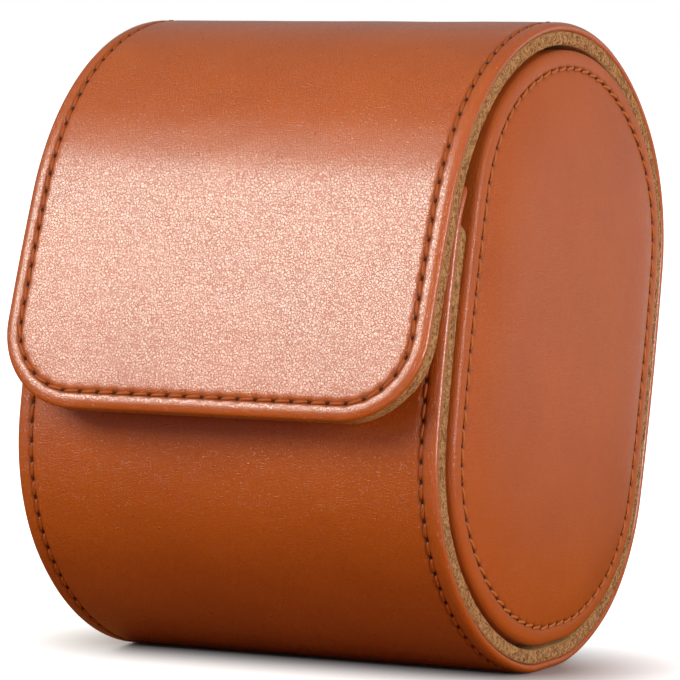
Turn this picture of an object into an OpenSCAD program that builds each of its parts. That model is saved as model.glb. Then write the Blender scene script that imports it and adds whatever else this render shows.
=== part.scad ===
// Travel case for one watch: an oval leather wrap with a folding lid and flap,
// two padded end caps on a tub, and a cushion that the watch is strapped round.
// X runs along the case, +Y is its back and +Z is up. The case leans back on a narrow flat foot.

/* [End caps] */
// Height of an end cap along its long axis
cap_h = 97.4; // [92:0.2:104]
// Depth of an end cap along its short axis
cap_d = 73.2; // [70:0.2:78]
// Radius of the arcs at the crown and the bottom
crown_r = 40.6; // [40:0.1:43]
// Radius of the long arcs at the front and the back
side_r = 350; // [250:1:500]
// Radius of the four corner arcs
corner_r = 27.7; // [27:0.1:31]
// Thickness of the board in an end cap
cap_board_t = 2; // [1.2:0.1:3]
// Thickness of the foam under the border of an end cap
cap_foam_t = 2.1; // [1.4:0.1:3]
// Width of the border outside the padded middle
cap_border = 3.6; // [2.2:0.1:4]
// Rise of the padded middle above the border
cap_rise = 1.8; // [0.5:0.1:3]
// Width over which the padding rises
cap_run = 22; // [12:0.5:22]
// Radius of the rolled edge of an end cap
cap_roll = 1.2; // [0.8:0.1:1.4]
// How far an end cap's border stands out of the wrap
cap_proud = 1; // [0:0.1:4]

/* [Wrap] */
// Length of the wrap from rim to rim
wrap_len = 76; // [70:0.2:90]
// Thickness of the outer leather
leather_t = 0.6; // [0.5:0.05:0.9]
// Thickness of the stiffening board under the leather
board_t = 0.9; // [0.6:0.05:1.5]
// Thickness of the suede lining
lining_t = 2.1; // [1.8:0.1:3]
// How far the raw edge of the lining stays inside the rim
lining_set = 0.2; // [0.1:0.05:0.6]
// Gap between the lining and the end caps
cap_gap = 0.9; // [0.4:0.05:1.1]
// Distance of the stitches from the edge of the leather
seam_in = 2.7; // [2:0.1:4]
// Width of the sewing thread
thread_w = 0.6; // [0.4:0.05:0.8]
// Depth of the groove that the thread lies in
thread_sink = 0.3; // [0.15:0.05:0.4]
// Height of the thread above the leather
thread_proud = 0.1; // [0:0.05:0.2]

/* [Front panel and hinge] */
// Height of the front panel's top edge above the middle of the case
front_top = 20; // [16:0.5:21]
// Length of the front panel's top that has no lining
bare_top = 5; // [4:0.5:8]
// Height at which the front panel starts to tuck in under the flap
tuck_from = 10; // [8:0.5:12]
// Radius of the tucked top of the front panel
tuck_r = 26; // [22:1:32]
// Height of the lid's hinge line above the middle of the case
hinge_h = 23.5; // [23:0.5:28]
// Gap across a fold of the leather
fold_gap = 0.3; // [0.2:0.05:0.5]
// Gap between two boards across a fold
board_gap = 3; // [1:0.25:6]

/* [Flap] */
// Angle between the crown and the fold of the flap
fold_angle = 25.5; // [20:0.5:30]
// How much larger the radius of the flap's shoulder is than the crown's
shoulder_slack = 0.6; // [0.2:0.1:3]
// Angle at which the shoulder turns into the brow
shoulder_end = 40; // [36:1:44]
// Gap between the lining of the flap and the top edge of the front panel
over_gap = 0.6; // [0.3:0.1:1.6]
// Angle at which the brow turns into the front of the flap
brow_end = 80.5; // [77:0.5:81.5]
// Radius of the flap's nearly flat front
flap_front_r = 400; // [150:10:500]
// How far the flap reaches below the middle of the case
flap_drop = 19.5; // [12:0.5:24]
// Radius of the flap's lower corners
flap_corner_r = 14; // [8:0.5:20]

/* [Magnets] */
// Diameter of a closing magnet
magnet_d = 12; // [8:0.5:14]
// Thickness of a closing magnet
magnet_t = 2; // [1.2:0.1:2.4]
// Distance between the two magnets in the flap, and in the front panel
magnet_pitch = 36; // [24:1:44]
// Height of the magnets below the middle of the case
magnet_drop = 4; // [0:0.5:5]

/* [Tub] */
// Thickness of the tub's board
tub_board_t = 1.5; // [1:0.1:2.5]
// Thickness of the suede inside the tub and the end caps
suede_t = 0.8; // [0.5:0.1:1.2]
// Height of the tub's front edge above the middle of the case
tub_front = 10; // [4:0.5:12]
// Height of the tub's back edge above the middle of the case
tub_back = 20; // [10:0.5:22]

/* [Cushion] */
// Depth of the cushion
cushion_d = 53; // [48:0.5:59]
// Height of the cushion
cushion_h = 64; // [58:0.5:68]
// Radius of the cushion's top and bottom
cushion_crown_r = 30; // [28:0.5:31]
// Radius of the cushion's front and back
cushion_side_r = 120; // [90:1:200]
// Radius of the cushion's corners
cushion_corner_r = 20; // [16:0.5:22]
// Thickness of the cushion's cover
cover_t = 1.2; // [0.8:0.1:2]
// Gap between the cushion and each end cap
cushion_gap = 0.8; // [0.4:0.1:3]

/* [Stand] */
// Angle that the case leans back
lean = 13; // [0:0.5:14]
// Width of the flat foot under the wrap
foot_w = 11; // [9:0.5:24]

/* [Hidden] */
// Longer than anything in the case, for cutting shapes
far = 200;
// Furthest that the short flats of a curved outline leave its arcs: on the wrap, tub and cushion, and on the end caps
fine_play = 0.02;
cap_play = 0.05;
// Angle over which the tucked top of the front panel is drawn, which reaches past its edge
tuck_turn = 36;
// How far a cutting shape reaches past the face that it cuts
cut_over = 1;
// Clearance round a magnet
magnet_play = 0.1;
// Clearance between the cushion and the tub
seat_gap = 0.3;

leather_colour = [0.69, 0.35, 0.18];
suede_colour = [0.69, 0.53, 0.33];
board_colour = [0.55, 0.5, 0.42];
thread_colour = [0.62, 0.27, 0.1];
foam_colour = [0.9, 0.88, 0.8];
magnet_colour = [0.75, 0.76, 0.78];

// Offsets of the layers' faces from the outline of an end cap
lining_face = cap_gap;
board_face = lining_face + lining_t;
skin_face = board_face + board_t;
wrap_face = skin_face + leather_t;
tub_face = cap_gap - tub_board_t;
cavity_face = tub_face - suede_t;

cap_face = wrap_len / 2 + cap_proud;
cap_board_face = cap_face - leather_t - cap_foam_t;
cap_suede_face = cap_board_face - cap_board_t;
cap_back = cap_suede_face - suede_t;

// An oval is given as [half depth, half height, crown radius, side radius, corner radius]
case_oval = [cap_d / 2, cap_h / 2, crown_r, side_r, corner_r];
cushion_oval = [cushion_d / 2, cushion_h / 2, cushion_crown_r, cushion_side_r, cushion_corner_r];
crown_centre = [0, cap_h / 2 - crown_r];
down = [sin(lean), -cos(lean)];
hinge_centre = corner_of(case_oval);
hinge_angle = acos((hinge_h - hinge_centre[1]) / (corner_r + wrap_face));

front_centre = [side_r - cap_d / 2, 0];

// The body's arcs leave the oval at the tucked top of the front panel, and run on above its edge
tuck_angle = front_angle(front_centre, side_r, tuck_from);
tuck_centre = front_centre + (side_r - tuck_r) * dir(-tuck_angle);
case_arcs = arcs_of(case_oval);
body_arcs = concat(
    [for (i = [0:5]) case_arcs[i]],
    [
        [front_centre, side_r, case_arcs[6][2], 360 - tuck_angle],
        [tuck_centre, tuck_r, 360 - tuck_angle, 360 - tuck_angle + tuck_turn],
    ]
);

// The flap's arcs follow the crown up to the fold, and the brow clears the top edge of the front panel
shoulder_r = crown_r + shoulder_slack;
shoulder_centre = crown_centre + (crown_r - shoulder_r) * dir(-fold_angle);
brow_start = shoulder_centre + shoulder_r * dir(-shoulder_end);
panel_edge = tuck_centre
    + (tuck_r + wrap_face + over_gap - lining_face) * dir(-front_angle(tuck_centre, tuck_r + wrap_face, front_top));
brow_r = pow(norm(panel_edge - brow_start), 2) / (2 * (brow_start - panel_edge) * dir(-shoulder_end));
brow_centre = shoulder_centre + (shoulder_r - brow_r) * dir(-shoulder_end);
flap_front_centre = brow_centre + (brow_r - flap_front_r) * dir(-brow_end);
flap_end = front_angle(flap_front_centre, flap_front_r, -flap_drop);
flap_arcs = [
    [flap_front_centre, flap_front_r, -flap_end - 1, -brow_end],
    [brow_centre, brow_r, -brow_end, -shoulder_end],
    [shoulder_centre, shoulder_r, -shoulder_end, -fold_angle],
    [crown_centre, crown_r, -fold_angle, 1 - fold_angle],
];

// The foot cuts this much off the bottom arc
foot_sag = crown_r + wrap_face - sqrt(pow(crown_r + wrap_face, 2) - pow(foot_w / 2, 2));
stand_z = crown_centre[1] * cos(lean) + crown_r + wrap_face - foot_sag;
// The flap's lower edge is the furthest point to the front, and an upper corner the furthest to the back
front_reach = leaned(flap_front_centre + (flap_front_r + wrap_face) * dir(-flap_end))[0];
back_reach = leaned(hinge_centre)[0] + corner_r + wrap_face;
stand_y = -(front_reach + back_reach) / 2;

cushion_low = crown_r + cavity_face - foot_sag - seat_gap - cushion_crown_r;
cushion_z = cushion_h / 2 - cushion_crown_r - crown_centre[1] - cushion_low / cos(lean);
cushion_len = 2 * (cap_back - cushion_gap);

// The seam of an end cap lies between these insets, in a groove of this profile
cap_seam_out = cap_border - 1.5 * thread_w;
cap_seam_in = cap_border - 0.5 * thread_w;
cap_groove = [
    [cap_seam_out, cap_face], [cap_seam_out, cap_face - thread_sink],
    [cap_seam_in, cap_face - thread_sink], [cap_seam_in, cap_face],
];

// Direction [y, z] of an angle that is counted from straight up towards the back
function dir(q) = [sin(q), cos(q)];
// Angle towards the front at which a circle is at height z
function front_angle(centre, r, z) = acos((z - centre[1]) / r);
// A point [y, z] of the upright case where the leaning case has it
function leaned(p) = [p[0] * cos(lean) + p[1] * sin(lean), p[1] * cos(lean) - p[0] * sin(lean)];
// Where circles about p and q with radii r and s meet, on the left of the way from p to q
function meet(p, r, q, s) =
    let (d = norm(q - p), e = (q - p) / d, m = (d * d + r * r - s * s) / (2 * d))
    p + m * e - sqrt(r * r - m * m) * [-e[1], e[0]];
// Centre of an oval's upper back corner arc
function corner_of(v) = meet([0, v[1] - v[2]], v[2] - v[4], [v[0] - v[3], 0], v[3] - v[4]);
// The eight arcs of an oval as [centre, radius, first angle, last angle], from the crown round the back
function arcs_of(v) =
    let (
        c = corner_of(v),
        top = [0, v[1] - v[2]],
        back = [v[0] - v[3], 0],
        a = atan2(c[0] - top[0], c[1] - top[1]),
        b = atan2(c[0] - back[0], c[1] - back[1])
    )
    [
        [top, v[2], -a, a],
        [c, v[4], a, b],
        [back, v[3], b, 180 - b],
        [[c[0], -c[1]], v[4], 180 - b, 180 - a],
        [-top, v[2], 180 - a, 180 + a],
        [-c, v[4], 180 + a, 180 + b],
        [-back, v[3], 180 + b, 360 - b],
        [[-c[0], c[1]], v[4], 360 - b, 360 - a],
    ];
// Points [y, z] along arcs at an offset, close enough that no flat leaves its arc by more than play
function arc_points(arcs, off, play) = [
    for (arc = arcs)
        let (steps = ceil((arc[3] - arc[2]) / (2 * acos(1 - play / arc[1]))))
        for (i = [0:steps - 1])
            arc[0] + (arc[1] + off) * dir(arc[2] + (arc[3] - arc[2]) * i / steps)
];
// Points of an end cap's outline at an inset, flattened at the foot
function cap_points(inset) = [
    for (p = arc_points(case_arcs, -inset, cap_play))
        p - max((p + crown_centre) * down - (crown_r - inset - foot_sag), 0) * down
];
// Profile of an end cap as [inset, height]: rolled edge, groove in the border and padded middle, all t under its face
function cap_profile(t, groove) = concat(
    [for (q = [0:45:90]) [cap_roll - (cap_roll - t) * cos(q), cap_face - cap_roll + (cap_roll - t) * sin(q)]],
    groove,
    [for (s = [0:0.25:1]) [cap_border + s * cap_run, cap_face - t + cap_rise * sin(90 * s)]]
);
// Rings of points round the right cap, t under its skin, from a plane up to the padded middle
function cap_rings(t, low, groove = []) = [
    for (p = concat([[t, low]], cap_profile(t, groove))) [for (at = cap_points(p[0])) [p[1], at[0], at[1]]]
];
// Faces between the rings of n points that start at points first, first + n and so on up to last
function ring_faces(n, first, last) = [
    for (k = [first:n:last - n], i = [0:n - 1]) [k + i, k + n + i, k + n + (i + 1) % n, k + (i + 1) % n]
];
function reversed(list) = [for (i = [len(list) - 1:-1:0]) list[i]];

// ---- Flat outlines, drawn with y to the right and z up ----

// A full circle, fine enough for its radius
module disc(r) circle(r, $fn = max(180, 4 * ceil(r)));

module oval(v, off = 0) polygon(arc_points(arcs_of(v), off, fine_play));

// Everything above the foot of a layer, whose outside is at this offset
module above_foot(off) {
    translate(-crown_centre) rotate(lean)
        translate([-far, foot_sag - crown_r - min(off, wrap_face)]) square(2 * far);
}

// The outline that arcs of the case make at an offset, flattened at the foot
module outline(arcs, off) {
    intersection() {
        polygon(arc_points(arcs, off, fine_play));
        above_foot(off);
    }
}

module layer(inner, outer, arcs = case_arcs) {
    difference() {
        outline(arcs, outer);
        outline(arcs, inner);
    }
}

module flap_layer(inner, outer) {
    polygon(concat(
        arc_points(flap_arcs, outer, fine_play),
        reversed(arc_points(flap_arcs, inner, fine_play))
    ));
}

// The part of the outline below the hinge line and below a height at the front
module body_side(front, back_gap) {
    difference() {
        polygon([
            hinge_centre, hinge_centre + far * dir(hinge_angle), [far, -far], [-far, -far],
            [-far, front], [0, front],
        ]);
        hinge_slit(back_gap);
    }
}

// The part of the outline from the hinge line over the crown to the flap's fold
module lid_side(gap) {
    difference() {
        polygon([
            hinge_centre, hinge_centre + far * dir(hinge_angle), [far, far],
            crown_centre + far * dir(-fold_angle), crown_centre,
        ]);
        hinge_slit(gap);
        fold_slit(gap);
    }
}

module slit(centre, angle, gap) {
    if (gap > 0)
        translate(centre) rotate(-angle) translate([-gap / 2, 0]) square([gap, far]);
}
module hinge_slit(gap) slit(hinge_centre, hinge_angle, gap);
module fold_slit(gap) slit(crown_centre, -fold_angle, gap);

// The flap seen from the front: straight sides and two round lower corners
module flap_outline(inset) {
    half = wrap_len / 2 - inset;
    corner = [wrap_len / 2 - flap_corner_r, flap_corner_r - flap_drop];
    translate([-half, corner[1]]) square([2 * half, far]);
    translate([-corner[0], inset - flap_drop]) square([2 * corner[0], far]);
    for (side = [-1, 1])
        translate([side * corner[0], corner[1]]) disc(flap_corner_r - inset);
}

// ---- Solids of the upright case ----

module along(length) rotate([90, 0, 90]) linear_extrude(length, center = true) children();
module between(low, high) translate([low, 0, 0]) rotate([90, 0, 90]) linear_extrude(high - low) children();
module stand() translate([0, stand_y, stand_z]) rotate([-lean, 0, 0]) children();

module body_sheet(inner, outer, inset, gap, drop = 0) {
    along(wrap_len - 2 * inset) intersection() {
        layer(inner, outer, body_arcs);
        body_side(front_top - max(inset, drop), gap);
    }
}

module lid_sheet(inner, outer, inset, gap) {
    along(wrap_len - 2 * inset) intersection() {
        layer(inner, outer);
        lid_side(gap);
    }
}

module flap_sheet(inner, outer, inset, gap) {
    intersection() {
        along(wrap_len) difference() {
            flap_layer(inner, outer);
            fold_slit(gap);
        }
        rotate([90, 0, 0]) linear_extrude(far) flap_outline(inset);
    }
}

// A row of stitches along the free edges, as a low bead; top is how far it stands out
module body_seam(top) {
    difference() {
        body_sheet(wrap_face - thread_sink, wrap_face + top, seam_in - thread_w / 2, fold_gap);
        body_sheet(0, wrap_face + 2 * top, seam_in + thread_w / 2, 0);
    }
}

module lid_seam(top) {
    difference() {
        lid_sheet(wrap_face - thread_sink, wrap_face + top, seam_in - thread_w / 2, fold_gap);
        lid_sheet(0, wrap_face + 2 * top, seam_in + thread_w / 2, 0);
    }
}

module flap_seam(top) {
    difference() {
        flap_sheet(wrap_face - thread_sink, wrap_face + top, seam_in - thread_w / 2, fold_gap);
        flap_sheet(0, wrap_face + 2 * top, seam_in + thread_w / 2, 0);
    }
}

// The two magnets under the leather of a front arc, grown by a clearance
module magnets(centre, r, play = 0) {
    for (side = [-1, 1])
        translate([side * magnet_pitch / 2, centre[0], centre[1]])
            rotate([front_angle(centre, r, -magnet_drop), 0, 0])
                translate([0, 0, r + skin_face - magnet_play - magnet_t - play])
                    cylinder(h = magnet_t + play + (play > 0 ? cut_over : 0), d = magnet_d + 2 * play, $fn = 60);
}
module body_magnets(play = 0) magnets(front_centre, side_r, play);
module lap_magnets(play = 0) magnets(flap_front_centre, flap_front_r, play);

// ---- Body of the wrap ----

module body_leather() {
    color(leather_colour) stand() difference() {
        body_sheet(board_face, wrap_face, 0, fold_gap);
        body_sheet(board_face, skin_face, leather_t, 0);
        body_seam(cut_over);
    }
}

module body_board() {
    color(board_colour) stand() difference() {
        body_sheet(board_face, skin_face, leather_t, board_gap);
        body_magnets(magnet_play);
    }
}

module body_lining() {
    color(suede_colour) stand() difference() {
        body_sheet(lining_face, board_face, lining_set, fold_gap, bare_top);
        body_magnets(magnet_play);
    }
}

module body_thread() color(thread_colour) stand() body_seam(thread_proud);
module front_magnets() color(magnet_colour) stand() body_magnets();

// ---- Lid ----

module lid_leather() {
    color(leather_colour) stand() difference() {
        lid_sheet(board_face, wrap_face, 0, fold_gap);
        lid_sheet(board_face, skin_face, leather_t, 0);
        lid_seam(cut_over);
    }
}

module lid_board() color(board_colour) stand() lid_sheet(board_face, skin_face, leather_t, board_gap);
module lid_lining() color(suede_colour) stand() lid_sheet(lining_face, board_face, lining_set, fold_gap);
module lid_thread() color(thread_colour) stand() lid_seam(thread_proud);

// ---- Flap ----

module flap_leather() {
    color(leather_colour) stand() difference() {
        flap_sheet(board_face, wrap_face, 0, fold_gap);
        flap_sheet(board_face, skin_face, leather_t, 0);
        flap_seam(cut_over);
    }
}

module flap_board() {
    color(board_colour) stand() difference() {
        flap_sheet(board_face, skin_face, leather_t, board_gap);
        lap_magnets(magnet_play);
    }
}

module flap_lining() {
    color(suede_colour) stand() difference() {
        flap_sheet(lining_face, board_face, lining_set, fold_gap);
        lap_magnets(magnet_play);
    }
}

module flap_thread() color(thread_colour) stand() flap_seam(thread_proud);
module flap_magnets() color(magnet_colour) stand() lap_magnets();

// ---- Tub ----

module tub_wall(inner, outer) {
    along(2 * cap_back) intersection() {
        layer(inner, outer);
        polygon([[0, tub_front], [-far, tub_front], [-far, -far], [far, -far], [far, tub_back], [0, tub_back]]);
    }
}

module tub_board() color(board_colour) stand() tub_wall(tub_face, cap_gap);
module tub_lining() color(suede_colour) stand() tub_wall(cavity_face, tub_face);

// ---- End caps ----

// The skin of the right cap: a domed face and a side wall, open towards the case
module cap_skin() {
    outer = cap_rings(0, cap_back, cap_groove);
    inner = cap_rings(leather_t, cap_back);
    n = len(outer[0]);
    half = n * len(outer);
    whole = half + n * len(inner);
    polyhedron(
        points = [for (ring = concat(outer, inner)) each ring],
        faces = concat(
            ring_faces(n, 0, half - n),
            [[for (i = [n - 1:-1:0]) half - n + i]],
            [for (face = ring_faces(n, half, whole - n)) reversed(face)],
            [[for (i = [0:n - 1]) whole - n + i]],
            [for (i = [0:n - 1]) [i, (i + 1) % n, half + (i + 1) % n, half + i]]
        )
    );
}

// The foam of the right cap, which fills the skin above the board
module cap_pad() {
    rings = cap_rings(leather_t, cap_board_face);
    n = len(rings[0]);
    last = n * (len(rings) - 1);
    polyhedron(
        points = [for (ring = rings) each ring],
        faces = concat(
            [[for (i = [0:n - 1]) i]],
            ring_faces(n, 0, last),
            [[for (i = [n - 1:-1:0]) last + i]]
        )
    );
}

module cap_plate(low, high) between(low, high) polygon(cap_points(leather_t));

// The row of stitches in the border, beside the padded middle
module cap_seam() {
    between(cap_face - thread_sink, cap_face + thread_proud) difference() {
        polygon(cap_points(cap_seam_out));
        polygon(cap_points(cap_seam_in));
    }
}

module cap_leather() color(leather_colour) cap_skin();
module cap_foam() color(foam_colour) cap_pad();

module right_cap_leather() stand() cap_leather();
module right_cap_foam() stand() cap_foam();
module right_cap_board() color(board_colour) stand() cap_plate(cap_suede_face, cap_board_face);
module right_cap_lining() color(suede_colour) stand() cap_plate(cap_back, cap_suede_face);
module right_cap_thread() color(thread_colour) stand() cap_seam();
module left_cap_leather() mirror([1, 0, 0]) right_cap_leather();
module left_cap_foam() mirror([1, 0, 0]) right_cap_foam();
module left_cap_board() mirror([1, 0, 0]) right_cap_board();
module left_cap_lining() mirror([1, 0, 0]) right_cap_lining();
module left_cap_thread() mirror([1, 0, 0]) right_cap_thread();

// ---- Cushion ----

module cushion_place() stand() translate([0, 0, cushion_z]) children();

module cushion_core() {
    color(foam_colour) cushion_place() along(cushion_len - 2 * cover_t) oval(cushion_oval, -cover_t);
}

module cushion_cover() {
    color(suede_colour) cushion_place() along(cushion_len) difference() {
        oval(cushion_oval);
        oval(cushion_oval, -cover_t);
    }
}

module cushion_right_end() {
    color(suede_colour) cushion_place()
        between(cushion_len / 2 - cover_t, cushion_len / 2) oval(cushion_oval, -cover_t);
}

module cushion_left_end() mirror([1, 0, 0]) cushion_right_end();

body_leather();
body_board();
body_lining();
body_thread();
front_magnets();
lid_leather();
lid_board();
lid_lining();
lid_thread();
flap_leather();
flap_board();
flap_lining();
flap_thread();
flap_magnets();
tub_board();
tub_lining();
right_cap_leather();
right_cap_foam();
right_cap_board();
right_cap_lining();
right_cap_thread();
left_cap_leather();
left_cap_foam();
left_cap_board();
left_cap_lining();
left_cap_thread();
cushion_core();
cushion_cover();
cushion_right_end();
cushion_left_end();
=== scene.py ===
# %% [markdown]
# # A travel case for one watch
# The case is an oval drum. One stitched strip of leather wraps round it, and folds over at the front as a
# flap. Two padded end caps close its ends. We load the engineering model first: it fixes every size and every
# joint, and the caps, the tub and the cushion that we dress it with ride on its body.

# %% Load the frame
import math
import bpy
import bmesh
import numpy as np
from mathutils import Matrix, Vector
from mathutils.kdtree import KDTree


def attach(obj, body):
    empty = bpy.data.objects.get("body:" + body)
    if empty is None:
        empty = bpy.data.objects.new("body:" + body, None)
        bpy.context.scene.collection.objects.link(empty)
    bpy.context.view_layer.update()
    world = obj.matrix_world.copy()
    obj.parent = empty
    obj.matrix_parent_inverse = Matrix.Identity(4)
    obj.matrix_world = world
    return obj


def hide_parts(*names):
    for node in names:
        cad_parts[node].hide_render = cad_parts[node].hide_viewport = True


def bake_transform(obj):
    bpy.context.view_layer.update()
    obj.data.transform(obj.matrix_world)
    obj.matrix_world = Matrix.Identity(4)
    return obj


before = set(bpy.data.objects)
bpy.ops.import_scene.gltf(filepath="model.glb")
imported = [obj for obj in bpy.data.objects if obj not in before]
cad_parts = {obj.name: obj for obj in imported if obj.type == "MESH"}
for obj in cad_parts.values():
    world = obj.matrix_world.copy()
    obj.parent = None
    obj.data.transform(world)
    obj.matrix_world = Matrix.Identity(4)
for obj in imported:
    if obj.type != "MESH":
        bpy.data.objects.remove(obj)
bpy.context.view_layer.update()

# %% [markdown]
# ## Where things are
# It is easier to shape the case while it stands upright, and to lean it back at the end. So every piece is
# made in millimetres with x along the case, y to its back and z up from the middle of its oval, and one
# function takes those points to their places. An angle is counted from straight up towards the back.

# %% The leaning case
LEAN = math.radians(13)
MIDDLE = (3.577, 52.656)  # how far behind the foot, and how far over it, the middle of the oval lies
MM = 0.001


def leaned(x, y, z):
    """Points of the upright case, in millimetres, as places in the scene, in metres."""
    x, y, z = np.broadcast_arrays(x, y, z)
    back = y * math.cos(LEAN) + z * math.sin(LEAN) + MIDDLE[0]
    up = z * math.cos(LEAN) - y * math.sin(LEAN) + MIDDLE[1]
    return np.stack([x, back, up], axis=-1) * MM


def toward(q):
    """The direction (y, z) at angle q, in degrees."""
    return np.stack([np.sin(np.radians(q)), np.cos(np.radians(q))], axis=-1)


print("middle of the oval:", leaned(0, 0, 0))

# %% [markdown]
# ## The oval
# A drawn oval is made of arcs that meet smoothly: here a crown, two corners and a long side, and the same
# again below. An arc is written as its centre, its radius and its two angles, so that a layer of leather over
# it is the same arc with a larger radius.

# %% Arcs of the oval
HALF_HIGH, HALF_DEEP = 48.7, 36.6
CROWN_R, SIDE_R, CORNER_R = 40.6, 350.0, 27.7
CROWN = np.array([0.0, HALF_HIGH - CROWN_R])


def meeting(p, r, q, s):
    """Where circles about p and q, with radii r and s, meet."""
    d = np.linalg.norm(q - p)
    e = (q - p) / d
    m = (d * d + r * r - s * s) / (2 * d)
    return p + m * e + math.sqrt(r * r - m * m) * np.array([e[1], -e[0]])


def inner_centre(centre, old_r, new_r, q):
    """Centre of an arc of radius new_r that goes on smoothly from the old one at angle q."""
    return centre + (old_r - new_r) * toward(q)


SIDE = np.array([HALF_DEEP - SIDE_R, 0.0])
CORNER = meeting(CROWN, CROWN_R - CORNER_R, SIDE, SIDE_R - CORNER_R)
TURN = math.degrees(math.atan2(CORNER[0], CORNER[1] - CROWN[1]))
BEND = math.degrees(math.atan2(CORNER[0] - SIDE[0], CORNER[1]))
OVAL = [
    (CROWN, CROWN_R, -TURN, TURN),
    (CORNER, CORNER_R, TURN, BEND),
    (SIDE, SIDE_R, BEND, 180 - BEND),
    (CORNER * (1, -1), CORNER_R, 180 - BEND, 180 - TURN),
    (-CROWN, CROWN_R, 180 - TURN, 180 + TURN),
    (-CORNER, CORNER_R, 180 + TURN, 180 + BEND),
    (-SIDE, SIDE_R, 180 + BEND, 360 - BEND),
    (CORNER * (-1, 1), CORNER_R, 360 - BEND, 360 - TURN),
]
print("arcs meet at", round(TURN, 2), "and", round(BEND, 2), "degrees")

# %% [markdown]
# ## The long strip
# The leather of the wrap is one strip. It starts under the flap at the top of the front panel, goes down the
# front, under the case, up the back, over the crown and down again as the flap. A curve object could carry
# it, but then its seams would need a curve of their own. We follow it with one number, the length along its
# outer face, which is how a saddler would mark it out before sewing. Leather, suede and stitches all use it.
#
# The leather's face lies outside the oval. The panel tucks in a little towards its top, to let the flap over
# it, and the flap comes down over it in three arcs: its shoulder, its brow and its almost straight front.

# %% Path of the strip
FACE, FOOT_WIDE = 4.5, 11.0
TUCK_FROM, TUCK_R, PANEL_TOP = 10.0, 26.0, 20.0
HINGE, FOLD, SHOULDER, BROW = 79.962, 25.5, 40.0, 80.5
SHOULDER_R, BROW_R, FLAP_R, FLAP_DROP = 41.2, 39.331, 400.0, -19.5


def front_angle(centre, r, z):
    """The angle at which the circle of radius r about centre is at height z."""
    return math.degrees(math.acos((z - centre[1]) / r))


tuck_q = front_angle(-SIDE, SIDE_R, TUCK_FROM)
tuck = inner_centre(-SIDE, SIDE_R, TUCK_R, -tuck_q)
shoulder = inner_centre(CROWN, CROWN_R, SHOULDER_R, -FOLD)
brow = inner_centre(shoulder, SHOULDER_R, BROW_R, -SHOULDER)
flap_front = inner_centre(brow, BROW_R, FLAP_R, -BROW)
STRIP = [
    (tuck, TUCK_R, 360 - front_angle(tuck, TUCK_R + FACE, PANEL_TOP), 360 - tuck_q),
    (-SIDE, SIDE_R, 360 - tuck_q, 180 + BEND),
    (-CORNER, CORNER_R, 180 + BEND, 180 + TURN),
    (-CROWN, CROWN_R, 180 + TURN, 180 - TURN),
    (CORNER * (1, -1), CORNER_R, 180 - TURN, 180 - BEND),
    (SIDE, SIDE_R, 180 - BEND, BEND),
    (CORNER, CORNER_R, BEND, TURN),
    (CROWN, CROWN_R, TURN, -FOLD),
    (shoulder, SHOULDER_R, -FOLD, -SHOULDER),
    (brow, BROW_R, -SHOULDER, -BROW),
    (flap_front, FLAP_R, -BROW, -front_angle(flap_front, FLAP_R + FACE, FLAP_DROP)),
]
spans = np.array([math.radians(a - b) * (r + FACE) for _, r, a, b in STRIP])
starts = np.concatenate([[0], np.cumsum(spans)])
print("strip:", round(starts[-1], 1), "mm long, of", len(STRIP), "arcs")

# %% [markdown]
# The case would rock on its round crown, so the strip is pressed flat where the case stands, as the weight of
# the case and the glue of the tub hold it. Cutting the mesh with a plane would leave a hard edge there, so the
# points below the foot are moved up by a smooth rule instead. Any length along the strip and any height over
# the oval then give one place.

# %% Following the strip
SAG = CROWN_R + FACE - math.sqrt((CROWN_R + FACE) ** 2 - (FOOT_WIDE / 2) ** 2)
SOFT = 0.02  # the larger it is, the softer is the edge of the foot
DOWN = np.array([math.sin(LEAN), -math.cos(LEAN)])


def on_foot(y, z, off):
    """The strip stands on a narrow flat foot: what would reach below it is pressed flat, with a soft edge."""
    over = (y + CROWN[0]) * DOWN[0] + (z + CROWN[1]) * DOWN[1] - (CROWN_R + np.minimum(off, FACE) - SAG)
    press = 0.5 * (over + np.sqrt(over**2 + SOFT))
    return y - press * DOWN[0], z - press * DOWN[1]


def along_strip(s, off):
    """Places y and z at length s along the strip, off outside the oval."""
    s, off = np.broadcast_arrays(np.asarray(s, float), np.asarray(off, float))
    k = np.clip(np.searchsorted(starts, s, side="right") - 1, 0, len(STRIP) - 1)
    centre = np.array([c for c, _, _, _ in STRIP])[k]
    radius = np.array([r for _, r, _, _ in STRIP])[k]
    first = np.array([a for _, _, a, _ in STRIP])[k]
    q = first - np.degrees((s - starts[k]) / (radius + FACE))
    at = centre + (radius + off)[..., None] * toward(q)
    return on_foot(at[..., 0], at[..., 1], off)


s_hinge = starts[6] + math.radians(BEND - HINGE) * (CORNER_R + FACE)
s_fold = starts[8]
s_cut = (s_hinge + s_fold) / 2
print("lid hinge at", round(s_hinge, 1), "and fold at", round(s_fold, 1))

# %% [markdown]
# ## From numbers to meshes
# A turned edge has the same cross-section all the way round a sheet, so a sheet is made of bands: a profile
# of insets and offsets is carried along its two sides, round its corners and along its end, and a plain grid
# fills the middle. That gives a clean mesh with its points where the stitches need them, which a box with a
# bevel modifier can't do. The bands are welded where they meet.

# %% Grids and welding
def mesh_object(name, points, faces, weld=0.0):
    """A smooth object made of points in metres; points closer than weld become one."""
    mesh = bpy.data.meshes.new(name)
    mesh.from_pydata([tuple(p) for p in points], [], [tuple(f) for f in faces])
    if weld:
        work = bmesh.new()
        work.from_mesh(mesh)
        bmesh.ops.remove_doubles(work, verts=work.verts, dist=weld)
        bmesh.ops.recalc_face_normals(work, faces=work.faces)
        work.to_mesh(mesh)
        work.free()
    mesh.validate()
    mesh.shade_smooth()
    thing = bpy.data.objects.new(name, mesh)
    bpy.context.scene.collection.objects.link(thing)
    return thing


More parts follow.
